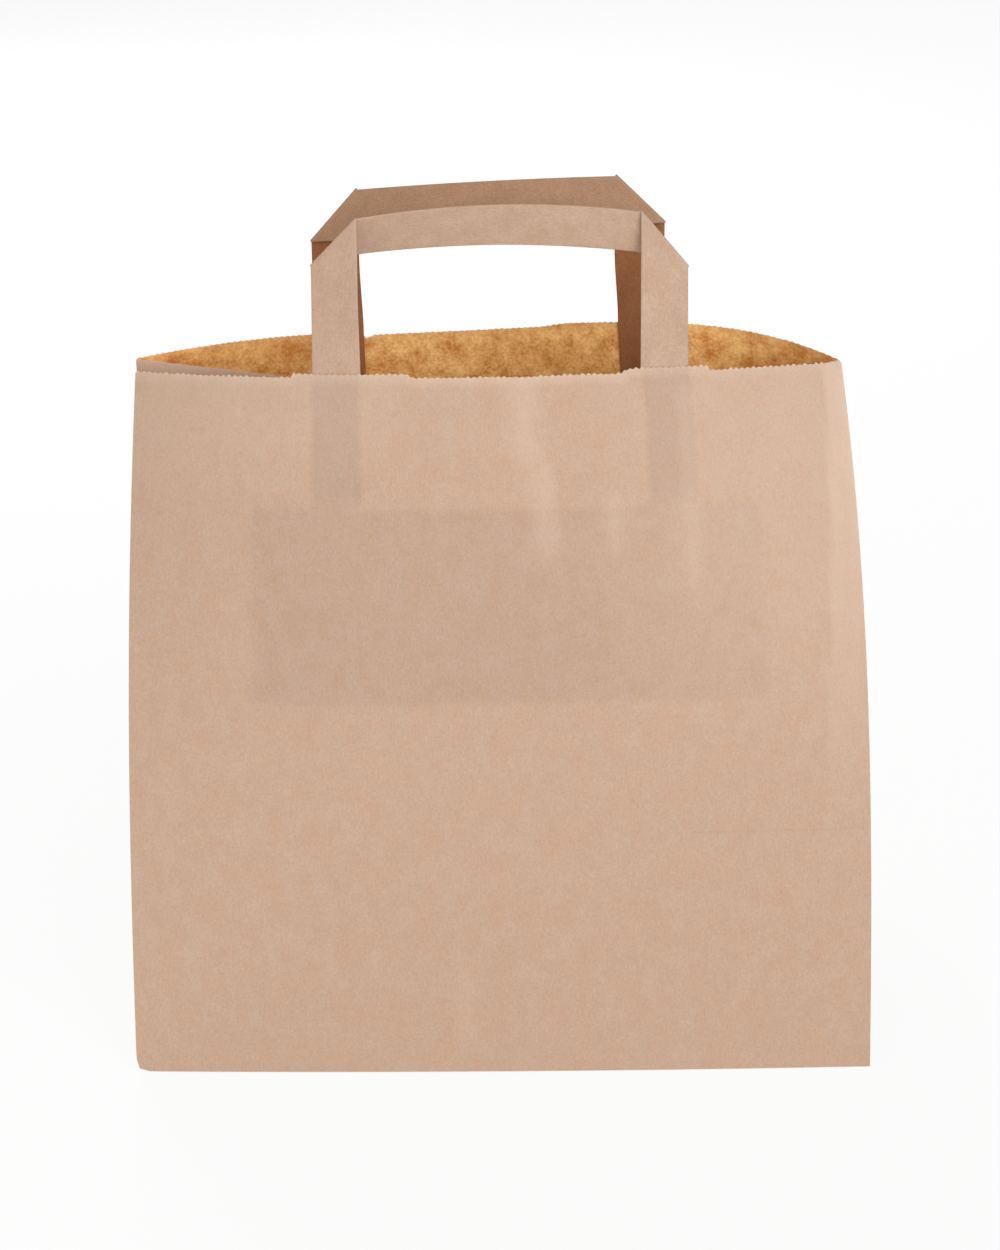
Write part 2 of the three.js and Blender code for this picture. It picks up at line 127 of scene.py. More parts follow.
# corner of the rim: inset along x, lean along y and drop, by side and face
rimCorners = {
    (left, front): (2.9, 65.4, 9.4),
    (right, front): (9.5, 72.4, 9.4),
    (left, back): (0.6, 79.4, 11.5),
    (right, back): (8.7, 83.2, 12.5),
}
cornerPower = {"inset": 3, "lean": 1.05}  # of the share of the height
sideBow = {left: 1.4, right: 0.9}  # the folded edges belly out half way up
panelForm = {
    front: {"bulge": 35, "growth": 1.6, "rise": 5.7, "skew": -0.12, "power": 2},
    back: {"bulge": 24.8, "growth": 1.6, "rise": 5.7, "skew": 0.4, "power": 3.8},
}
# slow waves of the paper: height, length across, length of their slant, phase, length up the paper, its phase
paperWaves = [(0.30, 23, 61, 0, 37, 0.8), (0.16, 9.5, -33, 2.1, 29, 0)]
wavePhase = {front: 0, back: 1.7}
waveEnds = {"power": 6, "foot": 18}  # the waves die away to the corner folds and to the base
# soft ridges on the front panel: across, lower end, upper end, half width, height
frontRidges = [
    (12, 210, 262, 5.5, 0.7),
    (18, 178, 226, 5, 0.7),
    (42, 178, 212, 4, 0.55),
    (70, 165, 250, 3.5, 0.45),
    (30, 196, 262, 7, -0.5),
    (-14, 2, 44, 4, 0.3),
    (-52, 90, 170, 14, 0.35),
    (84, 30, 130, 12, 0.3),
    (-98, 40, 190, 16, 0.35),
    (-96, 205, 262, 9, 0.4),
]
ridgeFade = 14
# rim above or below the mean cut: stretches of rim with a height at each end
rimSteps = {
    front: [(-130, -70.8, 0, 0), (-70.4, -28.4, 1.3, 1.3), (-28, 47, 0, 0),
            (50.5, 79.3, 1.6, 1.6), (79.7, 130, 0, 0)],
    back: [(-130, -47.5, 0.4, 0.4), (-46, -44, -2.4, -2.2), (-43, 20, -1.4, -0.7), (30, 66, 0.4, 0.4),
           (67, 68.5, -1.0, -1.0), (69.5, 130, 0.3, 0)],
}


def corner(side, face, t):
    # fold from base corner to rim corner: x and y move in by powers of the height, with a slight belly
    q = t / sheet["height"]
    inset, lean, drop = rimCorners[side, face]
    belly = sideBow[side] * np.sin(math.pi * np.clip(q, 0, 1))
    x = side * (halfWidth - inset * q ** cornerPower["inset"] + belly)
    y = face * (halfDepth - lean * q ** cornerPower["lean"])
    z = (sheet["height"] - drop) * q
    return np.stack(np.broadcast_arrays(x, y, z), -1)


def ridgeForm(s, t, across, low, high, reach, height):
    # hump across the paper, faded out towards its lower and upper ends
    along = smooth(t, low, low + ridgeFade) * (1 - smooth(t, high - ridgeFade, high))
    return height * bell(s, across, reach) * along


def relief(face, s, t):
    # products of two sines, with the ridges on the front panel
    phase = wavePhase[face]
    wave = 0
    for height, across, slant, start, up, startUp in paperWaves:
        slanted = np.sin(s / across + t / slant + start + phase)
        wave = wave + height * slanted * np.sin(t / up + startUp + phase)
    if face == front:
        for ridge in frontRidges:
            wave = wave + ridgeForm(s, t, *ridge)
    edge = 1 - np.abs(s / halfWidth) ** waveEnds["power"]
    return wave * edge * smooth(t, 0, waveEnds["foot"])


def panel(face, s, t):
    # straight line between the two corner folds, bulged by an arch that grows with height, plus relief
    q = t / sheet["height"]
    u = s / halfWidth
    form = panelForm[face]
    p = blendPoints(corner(left, face, t), corner(right, face, t), (u + 1) / 2)
    arch = (1 - np.abs(u) ** form["power"]) * (1 + form["skew"] * u)
    crease = sheet["levelCrease"] * bell(t, halfDepth, sheet["creaseReach"])
    crease = crease * (1 - np.abs(u) ** sheet["creaseEnds"])
    foot = sheet["baseBow"] * (1 - u * u) * np.exp(-t / sheet["bowFade"])
    if face == front:  # the strip beside the seam turns back
        beside = np.maximum(0, s - sheet["seam"][1]) / (halfWidth - sheet["seam"][1])
        foot = foot - sheet["seamTurn"] * beside ** 2 * smooth(t, *sheet["seamTurnUp"])
    bulge = form["bulge"] * q ** form["growth"] * arch
    p[..., 1] += face * (bulge + foot - crease + relief(face, s, t))
    p[..., 2] += form["rise"] * q * q * arch
    return p


def rimCorner(side, face):
    # upper end of a corner fold
    return corner(side, face, np.array(float(sheet["height"])))


def rimCrease(side):
    # middle crease of a gusset at the rim, half a gusset from both corners
    a, b = rimCorner(side, front), rimCorner(side, back)
    halfGap = np.linalg.norm(a - b) / 2
    drop = sheet["gussetDrop"][side]
    reach = math.sqrt(halfDepth ** 2 - halfGap ** 2 - drop ** 2)
    return (a + b) / 2 + np.array([-side * reach, 0, -drop])


def gusset(side, s, t):
    # a triangle tips in at the foot; above its slanting creases each half folds in to the middle crease
    tilt = math.radians(sheet["gussetTilt"])
    s, t = np.broadcast_arrays(np.asarray(s, float), np.asarray(t, float))
    d = halfDepth - np.abs(s)
    foot = np.array([side * halfWidth, 0, 0])
    apex = foot + halfDepth * np.array([-side * math.sin(tilt), 0, math.cos(tilt)])
    baseLine = np.stack([np.full(s.shape, foot[0]), s, np.zeros(s.shape)], -1)
    p = baseLine + (apex - foot) * (t / halfDepth)[..., None]
    share = d / halfDepth
    for face in (front, back):
        base = np.array([side * halfWidth, face * halfDepth, 0])
        rimPoint = rimCorner(side, face)
        start = blendPoints(base, apex, share)
        end = blendPoints(rimPoint, rimCrease(side), share)
        upper = blendPoints(start, end, (t - d) / (sheet["height"] - d))
        straight = blendPoints(base, rimPoint, t / sheet["height"])
        upper = upper + (corner(side, face, t) - straight) * (1 - share)[..., None]
        here = (t > d) & ((s < 0) == (face == front))
        p = np.where(here[..., None], upper, p)
    length, phase = sheet["sagWave"]
    sag = sheet["gussetSag"] * np.sin(t / length + phase * side) * np.sin(math.pi * share)
    p[..., 0] += side * sag * smooth(t, *sheet["sagUp"])
    return p


def rimOffset(face, s):
    # height of the cut edge against its mean line, joined by straight slopes between the stretches
    if face is None:
        return np.zeros_like(s)
    ends = [(a, h) for a, b, h, k in rimSteps[face]] + [(b, k) for a, b, h, k in rimSteps[face]]
    ends.sort()
    return np.interp(s, [a for a, h in ends], [h for a, h in ends])


print("shape functions ready")


# Straps and patches inside the panels

strap = {
    "width": 17.5,
    "thick": 0.7,  # several plies
    "below": 78,  # end of a leg, below the rim
    "untwist": 30,  # height in which a leg turns flat to the front
    "slantFrom": 0.45,  # share of a leg's rise where its rows begin to slant
    "foldFlat": 0.45,  # a corner fold is pressed to this share of a half circle
    "foldOpen": 0.3,  # a corner fold opens towards the inner edge by this share of its radius
    "plyEdge": 3.6,  # loose ply edge on the inner face, from the outer edge
    "bevel": 0.12,
    "glueGap": 0.3,
    "edgeWear": 0.3,
    "foldWear": 0.55,
    "lines": (0.03, 0.1, 0.3, 0.45, 0.6, 0.75, 0.9, 0.97),  # shares of the width, beside the edges
    "plyLines": 0.004,  # share of the width in which the loose ply ends
    "mapLine": 6,  # the paper's map is measured along this line
    "rows": {"below": 24, "above": 26, "fold": 11, "band": 82},
}
# the band moves inwards and up by these shares of the way from its fold, its lower edge less by ease;
# plyStep is a loose ply edge on the inner face
handles = {
    front: {"centre": 4.3, "pitch": 118.6, "tipIn": 0.12, "arch": (0.2, 0.105), "ease": 0.35, "plyStep": 0},
    back: {"centre": 1.4, "pitch": 113, "tipIn": 0.4, "arch": (0.4, 0.114), "ease": 0, "plyStep": 0.12},
}
# top of each leg: rise of the outer fold corner, slant of the fold, shift and width across,
# inner edge forward, and the share by which the folded stretch of the band tips up
legTops = {
    (front, left): {"rise": 37.5, "slant": 17.3, "shift": -0.15, "wide": 0.96, "ahead": 6.5, "tipUp": 0.22},
    (front, right): {"rise": 35.4, "slant": 19.8, "shift": -0.05, "wide": 0.98, "ahead": 4.4, "tipUp": 0.28},
    (back, left): {"rise": 36.9, "slant": 20.2, "shift": -0.85, "wide": 1.0, "ahead": 0, "tipUp": 0.085},
    (back, right): {"rise": 39.6, "slant": 18.1, "shift": -1.0, "wide": 1.06, "ahead": 0, "tipUp": 0.085},
}
patch = {
    "width": 181,
    "height": 69,
    "below": 46,  # upper edge, below the rim
    "double": 31,  # lower part that is folded double
    "foldStep": 0.4,
    "ramp": 4,  # slope beside a strap
    "edgeWear": 0.5,
    "columns": 90,
    "rows": 40,
}
patchTop = sheet["height"] - patch["below"]
patchLow = patchTop - patch["height"]
patchFold = patchLow + patch["double"]

# painted shade where legs and the patch lie behind the front and back panels, and in the level crease: how
# strongly each shows
paintedShowThrough = {
    "leg": 0.95,
    "legSoft": 0.8,
    "legFade": 8,  # a leg fades out this far above and below the patch's upper edge
    "single": 0.6,
    "double": 0.66,
    "patchSoft": (2.5, 2.0),  # ends, then upper edge, fold and lower edge
    "patchLoss": 0.35,  # share of the painted shade lost towards the right
    "patchLossAcross": (0, 90),
    "crease": 0.45,
    "creaseReach": 0.4,
    "creaseAcross": (20, 90),
}
# painted light on the front panel, paler where light falls on or shines through the paper, with the stretches
# across and up the paper in which it sets in
paintedLightPaper = {
    "right": {"share": 0.13, "across": (20, 100), "up": (90, 200)},
    "topLeft": {"share": 0.09, "across": (20, 60), "up": (195, 235)},  # across to the left
    "overlap": {"share": 0.16, "soft": 0.8, "up": (130, 230)},
    "beside": {"share": 0.4, "across": (-1, 2), "up": (60, 250)},  # single ply, from the overlap's edge
    "ridge": {"share": 0.22, "reach": 8},  # ridges narrower than this
    "roundCorner": 12,  # goes on this far round the right corner fold
}


def pliesBehind(face, s, t):
    # painted shade: the strongest of the legs, the patch with its doubled lower part, and the crease, which
    # darkens alike
    handle = handles[face]
    fade = paintedShowThrough["legFade"]
    legs = 0
    for side in (left, right):
        middle = handle["centre"] + side * handle["pitch"] / 2
        leg = between(s, middle - strap["width"] / 2, middle + strap["width"] / 2, paintedShowThrough["legSoft"])
        legs = legs + leg * smooth(t, patchTop - fade, patchTop + fade)
    endSoft, edgeSoft = paintedShowThrough["patchSoft"]
    across = between(s - handle["centre"], -patch["width"] / 2, patch["width"] / 2, endSoft)
    single = paintedShowThrough["single"] * across * between(t, patchFold, patchTop, edgeSoft)
    double = paintedShowThrough["double"] * across * between(t, patchLow, patchFold, edgeSoft)
    kept = 1 - paintedShowThrough["patchLoss"] * smooth(s, *paintedShowThrough["patchLossAcross"])
    crease = paintedShowThrough["crease"] * bell(t, halfDepth, paintedShowThrough["creaseReach"])
    crease = crease * smooth(s, *paintedShowThrough["creaseAcross"])
    return np.maximum(np.maximum(paintedShowThrough["leg"] * legs, (single + double) * kept), crease)


def paintedLightness(s, t):
    # painted light: the palest of the right side and top left, the glued overlap and the single ply beside
    # it, plus painted highlights on the ridges
    rightSide, topLeft, ridge = paintedLightPaper["right"], paintedLightPaper["topLeft"], paintedLightPaper["ridge"]
    overlap, beside = paintedLightPaper["overlap"], paintedLightPaper["beside"]
    shifted = s + sheet["seamSlant"] * (1 - t / sheet["height"])
    seamLow, seamHigh = sheet["seam"]
    paintedLight = rightSide["share"] * smooth(s, *rightSide["across"]) * smooth(t, *rightSide["up"])
    paintedLight = paintedLight + topLeft["share"] * smooth(-s, *topLeft["across"]) * smooth(t, *topLeft["up"])
    glued = overlap["share"] * between(shifted, seamLow, seamHigh, overlap["soft"])
    glued = glued * smooth(t, *overlap["up"])
    bare = beside["share"] * smooth(shifted - seamHigh, *beside["across"]) * smooth(t, *beside["up"])
    paintedLight = np.maximum(np.maximum(paintedLight, glued), bare)
    # painted highlights on the narrow ridges
    for *ends, reach, height in frontRidges:
        if reach < ridge["reach"]:
            paintedLight = paintedLight + ridge["share"] * ridgeForm(s, t, *ends, reach, height)
    return np.maximum(paintedLight, 0)


def plainPaper(s, t):
    # no painted light anywhere
    return 0 * s


def paintedLightRoundCorner(s, t):
    # the front panel's painted light at its right fold, dying away along the gusset
    return paintedLightness(halfWidth + 0 * s, t) * bell(s, -halfDepth, paintedLightPaper["roundCorner"])


# Meshes

sharpAngle = 50  # degrees between faces from which an edge is sharp
backMapShift = 40  # the pattern on the back of a strip lies this far from the one on its front


def addPiece(name, points, triangles, materials, slots, uvs, attributes):
    # points in millimetres, one material index and three map corners for each triangle
    mesh = bpy.data.meshes.new(name)
    mesh.vertices.add(len(points))
    mesh.vertices.foreach_set("co", (np.asarray(points) * mm).astype(np.float32).ravel())
    mesh.loops.add(3 * len(triangles))
    mesh.loops.foreach_set("vertex_index", np.asarray(triangles, np.int32).ravel())
    mesh.polygons.add(len(triangles))
    mesh.polygons.foreach_set("loop_start", np.arange(0, 3 * len(triangles), 3, dtype=np.int32))
    for material in materials:
        mesh.materials.append(material)
    mesh.polygons.foreach_set("material_index", np.asarray(slots, np.int32))
    mesh.polygons.foreach_set("use_smooth", np.ones(len(triangles), bool))
    layer = mesh.uv_layers.new(name="paper")
    layer.data.foreach_set("uv", (np.asarray(uvs) * mm).astype(np.float32).ravel())
    for key, values in attributes.items():
        mesh.attributes.new(key, "FLOAT", "POINT").data.foreach_set("value", values.astype(np.float32))
    mesh.update(calc_edges=True)
    mesh.validate()
    mesh.set_sharp_from_angle(angle=math.radians(sharpAngle))
    piece = bpy.data.objects.new(name, mesh)
    bpy.context.collection.objects.link(piece)
    return piece


def gridTriangles(rows, columns, rising):
    # two triangles for each cell; rising tells for each column which diagonal folds
    i, j = np.meshgrid(np.arange(columns), np.arange(rows))
    wide = columns + 1
    a, b = j * wide + i, j * wide + i + 1
    c, d = b + wide, a + wide
    up = np.stack([a, b, c, a, c, d], -1)
    down = np.stack([a, b, d, b, c, d], -1)
    return np.where(np.broadcast_to(rising, a.shape)[..., None], up, down).reshape(-1, 3)


def sheetColumns():
    # once round the bag from the front left corner: surface, face, paper coordinate of each column, painted
    # light
    panelStops = np.linspace(-halfWidth, halfWidth, sheet["panelColumns"] + 1)[:-1]
    gussetStops = np.linspace(-halfDepth, halfDepth, 2 * sheet["gussetColumns"] + 1)[:-1]
    return [
        (lambda s, t: panel(front, s, t), front, panelStops, paintedLightness),
        (lambda s, t: gusset(right, s, t), None, gussetStops, paintedLightRoundCorner),
        (lambda s, t: panel(back, s, t), back, -panelStops, plainPaper),
        (lambda s, t: gusset(left, s, t), None, -gussetStops, plainPaper),
    ]


def sheetRows():
    # even rows up to the level crease and on to the rim, with a close pair at each edge of the painted shade
    lower = np.linspace(0, halfDepth, sheet["gussetColumns"] + 1)
    upper = np.linspace(halfDepth, sheet["height"] - sheet["toothHeight"][front] / 2, sheet["upperRows"] + 1)
    closeRows = {patchLow: 1, patchFold: 1, patchTop: 1, halfDepth: 0.6}
    pairs = [edge + way * gap for edge, gap in closeRows.items() for way in (-1, 1)]
    return np.unique(np.concatenate([lower, upper, pairs]))


def flapPrism(face, level):
    # base flap: a trapezoid from its long fold to past the middle, its ends cut at 45 degrees
    depth = halfDepth + sheet["baseOverlap"] / 2
    fold = sheet["ply"]
    x = np.array([-halfWidth + 2 * fold, halfWidth - 2 * fold, halfWidth - depth, depth - halfWidth])
    y = np.array([-halfDepth + fold, -halfDepth + fold, depth - halfDepth, depth - halfDepth])
    turn = 1 if face == front else -1
    x[0] += crush["flap"] if face == front else 0
    low = np.stack([turn * x, turn * y, np.full(4, level)], -1)
    high = low + [0, 0, baseLevel - sheet["flapGap"] - level]
    faces = [[0, 2, 1], [0, 3, 2], [4, 5, 6], [4, 6, 7]]
    for k in range(4):
        n = (k + 1) % 4
        faces += [[k, n, n + 4], [k, n + 4, k + 4]]
    return np.concatenate([low, high]), np.array(faces)


def sheetSkins():
    # outer grid round the bag, an inner grid one ply in and the tips of the saw teeth on both,
    # with the paper's map across, the fold of the cells, and the painted shade of what lies behind and the
    # painted light at each point
    rows = sheetRows()
    grids, plies, paintedLights, mapS, rising, tips = [], [], [], [], [], []
    start = 0.0
    for surface, face, stops, paintedLightAt in sheetColumns():
        step = stops[1] - stops[0]
        t = rows[:, None] + rimOffset(face, stops) * smooth(rows[:, None], sheet["rimBlend"], sheet["height"])
        s = stops[None, :] + 0 * t
        grids.append(surface(s, t))
        middle = stops + step / 2
        uneven = 1 + sheet["toothUneven"] * rng.uniform(-1, 1, len(stops))
        tipHeight = rows[-1] + rimOffset(face, middle) + sheet["toothHeight"][face] * uneven
        tips.append(surface(middle, tipHeight))
        plies.append(pliesBehind(face, s, t) if face else 0 * t)
        paintedLights.append(paintedLightAt(s, t))
        mapS.append(start + np.abs(stops - stops[0]))
        start += abs(step) * len(stops)
        rising.append(stops * face > 0 if face else np.abs(stops + step) < np.abs(stops))
    outer = np.concatenate(grids, 1)
    outer[..., 2] += baseLevel
    tipOuter = np.concatenate(tips)
    tipOuter[:, 2] += baseLevel

    # the inner skin lies one ply in along the normal, and its lowest row is the edge of the floor
    over = np.roll(outer, -1, 1) - np.roll(outer, 1, 1)
    along = np.gradient(outer, axis=0)
    normal = unit(np.cross(over, along))
    inner = outer - sheet["ply"] * normal
    inset = sheet["floorInset"] * sheet["ply"]
    inner[0, :, 0] = np.clip(outer[0, :, 0], inset - halfWidth, halfWidth - inset)
    inner[0, :, 1] = np.clip(outer[0, :, 1], inset - halfDepth, halfDepth - inset)
    inner[0, :, 2] = floorLevel
    for skin in (outer, inner):  # the front left corner of the base is crushed a little
        away = np.linalg.norm((skin - [-halfWidth, -halfDepth, baseLevel]) / [1, crush["deep"], 1], axis=-1)
        skin += bell(away, 0, crush["reach"])[..., None] * np.array(crush["move"])
    tipNormal = unit(normal[-1] + np.roll(normal[-1], -1, 0))
    tipInner = tipOuter - sheet["ply"] * tipNormal
    return {
        "rows": rows, "outer": outer, "inner": inner, "tipOuter": tipOuter, "tipInner": tipInner,
        "mapS": np.append(np.concatenate(mapS), start), "rising": np.concatenate(rising),
        "plies": np.concatenate(plies, 1), "paintedLight": np.concatenate(paintedLights, 1),
    }


def bagSheet(materials):
    # both skins, the saw teeth with the cut edge between them, a floor and two flaps
    skins = sheetSkins()
    rows, mapS = skins["rows"], skins["mapS"]
    rowCount, count = skins["outer"].shape[:2]

    # map corners are read from a grid one column wider, so that the last column doesn't wrap
    wide = gridTriangles(rowCount - 1, count, skins["rising"])
    column, row = wide % (count + 1), wide // (count + 1)
    wall = row * count + column % count
    wallMap = np.stack([mapS[column], rows[row]], -1)

    # points run as outer skin, inner skin, outer tips, inner tips, two floor centres and the flaps
    size = rowCount * count
    under = 2 * size + 2 * count
    k = np.arange(count)
    n = (k + 1) % count
    a, b = size - count + k, size - count + n
    tip, tipIn = 2 * size + k, 2 * size + count + k
    teeth = np.stack([a, b, tip], -1)
    teethIn = np.stack([b + size, a + size, tipIn], -1)
    cut = np.concatenate([
        np.stack([a, tip, tipIn], -1), np.stack([a, tipIn, a + size], -1),
        np.stack([tip, b, b + size], -1), np.stack([tip, b + size, tipIn], -1),
    ])
    floorUnder = np.stack([np.full(count, under), n, k], -1)
    floorInside = np.stack([np.full(count, under + 1), k + size, n + size], -1)
    flapA, facesA = flapPrism(front, sheet["ply"])
    flapB, facesB = flapPrism(back, 0.0)
    points = np.concatenate([
        skins["outer"].reshape(-1, 3), skins["inner"].reshape(-1, 3), skins["tipOuter"], skins["tipInner"],
        [[0, 0, baseLevel], [0, 0, floorLevel]], flapA, flapB,
    ])
    flat = [floorUnder, floorInside, facesA + under + 2, facesB + under + 2 + len(flapA)]
    triangles = np.concatenate([wall, wall[:, ::-1] + size, teeth, teethIn, cut, *flat])

    rimLine = np.full(count, rows[-1])
    teethMap = np.stack([
        np.stack([mapS[k], rimLine], -1),
        np.stack([mapS[k + 1], rimLine], -1),
        np.stack([(mapS[k] + mapS[k + 1]) / 2, rimLine + sheet["toothHeight"][front]], -1),
    ], 1)
    maps = np.concatenate([
        wallMap, wallMap[:, ::-1], teethMap, teethMap[:, [1, 0, 2]],
        np.concatenate([teethMap] * 4), points[np.concatenate(flat)][..., :2],
    ])
    # 0 is the outer paper, 1 the inner face, 2 the cut edge
    slots = np.concatenate([
        np.full(len(wall), 0), np.full(len(wall), 1), np.full(count, 0), np.full(count, 1),
        np.full(len(cut), 2), np.full(count, 0), np.full(count, 1), np.full(len(facesA) + len(facesB), 0),
    ])
    pliesGrid = skins["plies"].ravel()
    topShadeBehind = pliesGrid[-count:]
    pad = np.zeros(2 + len(flapA) + len(flapB))
    # the wear attribute carries the rim's real wear and, on the front panel, its painted light, on the outer
    # and the inner skin alike
    rimWear = sheet["rimWear"] * smooth(rows, sheet["height"] - 1, sheet["height"])[:, None]
    wear = np.maximum(rimWear, skins["paintedLight"]).ravel()
    attributes = {
        "plies": np.concatenate([pliesGrid, pliesGrid, topShadeBehind, topShadeBehind, pad]),
        "wear": np.concatenate([wear, wear, np.full(2 * count, sheet["toothWear"]), pad]),
    }
    return addPiece("bag_sheet", points, triangles, materials, slots, maps, attributes)


def insidePanel(face, s, t, distance):
    # point at a distance inside a panel's outer face; above the rim the paper's own line goes on
    nudge = 0.5
    s, t = np.broadcast_arrays(np.asarray(s, float), np.asarray(t, float))
    reach = np.minimum(t, sheet["height"])
    p = panel(face, s, reach)
    over = panel(face, s + nudge, reach) - panel(face, s - nudge, reach)
    up = p - panel(face, s, reach - nudge)
    p = p + unit(np.cross(over, up)) * face * np.asarray(distance)[..., None]
    p[..., 2] += baseLevel
    up[..., 0] = 0
    return p + unit(up) * (t - reach)[..., None]


def legSurface(face, side, shares):
    # rows up a leg; the last rows slant until they lie along the corner fold, and the leg turns on its way up
    handle, top = handles[face], legTops[face, side]
    middle = handle["centre"] + side * handle["pitch"] / 2
    below = np.linspace(-strap["below"], 0, strap["rows"]["below"])[:-1]
    v = np.linspace(0, 1, strap["rows"]["above"])
    height = np.concatenate([below, v * top["rise"]])
    slant = np.concatenate([0 * below, smooth(v, strap["slantFrom"], 1)])
    h = height[:, None] + slant[:, None] * shares * top["slant"]
    s = middle + side * (0.5 - shares) * strap["width"] + 0 * h
    distance = sheet["ply"] + strap["glueGap"] + strap["thick"] / 2
    p = insidePanel(face, s, sheet["height"] + h, distance)
    turned = insidePanel(face, middle + 0 * h, sheet["height"] + h, distance)
    turned[..., 0] += top["shift"] + (p[..., 0] - turned[..., 0]) * top["wide"]
    turned[..., 1] -= (shares - 0.5) * top["ahead"]
    return blendPoints(p, turned, smooth(h, 0, strap["untwist"]))


def cornerFold(face, side, fold, shares):
    # flattened half turn from the leg over to the band on the inner side
    radius = (strap["thick"] + strap["glueGap"]) / 2 * (1 + strap["foldOpen"] * shares)
    angle = np.linspace(0, math.pi, strap["rows"]["fold"])[1:, None]
    out = strap["foldFlat"] * radius * np.sin(angle) / math.sqrt(2)
    step = np.stack([side * out, -face * radius * (1 - np.cos(angle)), out], -1)
    return fold[None] + step


def bandSurface(face, start, end, shares):
    # straight lines between both folds, tipped in the folded stretch and then arched as a parabola
    span = np.linalg.norm(start[-1] - end[-1])
    share = np.linspace(0, 1, strap["rows"]["band"])[1:-1, None]
    q = start[None] + (end - start)[None] * share[..., None]
    down = (1 - shares) * strap["width"]
    reach = np.minimum(share, 1 - share) * np.linalg.norm(end - start, axis=-1)
    beyond = np.maximum(0, reach - down)
    tipped = np.minimum(reach, down)
    arched = beyond - beyond ** 2 / span
    archIn, archUp = handles[face]["arch"]
    tipUp = legTops[face, left]["tipUp"] * (1 - share) + legTops[face, right]["tipUp"] * share
    q[..., 1] -= face * (handles[face]["tipIn"] * tipped + archIn * arched)
    q[..., 2] += tipUp * tipped + archUp * (1 - handles[face]["ease"] * (1 - shares)) * arched
    return q


def quads(a, b, c, d):
    # two triangles for each row of four corners
    return np.concatenate([np.stack([a, b, c], -1), np.stack([a, c, d], -1)])


def closedStrip(name, surface, plus, minus, length, across, materials, extra):
    # a skin on each side of a middle surface, closed along its edges and ends
    rows, lines = surface.shape[:2]
    over = np.gradient(surface, axis=1)
    along = np.gradient(surface, axis=0)
    normal = unit(np.cross(over, along))
    points = np.concatenate([(surface + normal * plus[..., None]).reshape(-1, 3),
                             (surface - normal * minus[..., None]).reshape(-1, 3)])
    size = rows * lines
    skin = gridTriangles(rows - 1, lines - 1, True)
    j, i = np.arange(rows - 1), np.arange(lines - 1)
    lowEdge, highEdge = j * lines, j * lines + lines - 1
    first, last = i, (rows - 1) * lines + i
    sides = [
        quads(lowEdge, lowEdge + lines, lowEdge + lines + size, lowEdge + size),
        quads(highEdge + lines, highEdge, highEdge + size, highEdge + lines + size),
        quads(first + 1, first, first + size, first + 1 + size),
        quads(last, last + 1, last + 1 + size, last + size),
    ]
    triangles = np.concatenate([skin, skin[:, ::-1] + size, *sides])
    grid = np.stack(np.broadcast_arrays(across[None, :], length[:, None]), -1).reshape(-1, 2)
    maps = np.concatenate([grid, grid + [backMapShift, 0]])[triangles]
    slots = np.zeros(len(triangles), int)
    slots[len(skin):2 * len(skin)] = len(materials) - 1
    attributes = {key: np.concatenate([v.ravel(), v.ravel()]) for key, v in extra.items()}
    return addPiece(name, points, triangles, materials, slots, maps, attributes)


def handleStrap(name, face, outer, inner):
    # leg, fold, band, fold and leg as one strip, with a loose ply edge on its inner face
    edge = strap["plyEdge"] / strap["width"]
    bevel = strap["bevel"] / strap["width"]
    plyLines = [edge - strap["plyLines"], edge + strap["plyLines"]]
    shares = np.sort([0, bevel, *strap["lines"], *plyLines, 1 - bevel, 1])
    legs = {side: legSurface(face, side, shares) for side in (left, right)}
    folds = {side: cornerFold(face, side, legs[side][-1], shares) for side in (left, right)}
    band = bandSurface(face, folds[left][-1], folds[right][-1], shares)
    surface = np.concatenate([legs[left], folds[left], band, folds[right][::-1], legs[right][::-1]])
    half = np.full(len(shares), strap["thick"] / 2)
    half[[0, -1]] -= strap["bevel"]
    stepped = half - handles[face]["plyStep"] * (shares > edge)
    plus, minus = (half, stepped) if face == front else (stepped, half)
    materials = [outer, inner] if face == front else [inner, outer]
    steps = np.linalg.norm(np.diff(surface[:, strap["mapLine"]], axis=0), axis=-1)
    length = np.concatenate([[0], np.cumsum(steps)])
    wear = np.zeros(surface.shape[:2])
    wear[:, [0, -1]] = strap["edgeWear"]
    legRows, foldRows = len(legs[left]), len(folds[left])
    wear[legRows:legRows + foldRows] = strap["foldWear"]
    wear[-legRows - foldRows:-legRows] = strap["foldWear"]
    rows = np.ones((len(surface), 1))
    return closedStrip(name, surface, rows * plus, rows * minus, length, shares * strap["width"], materials,
                       {"wear": wear, "plies": 0 * wear})


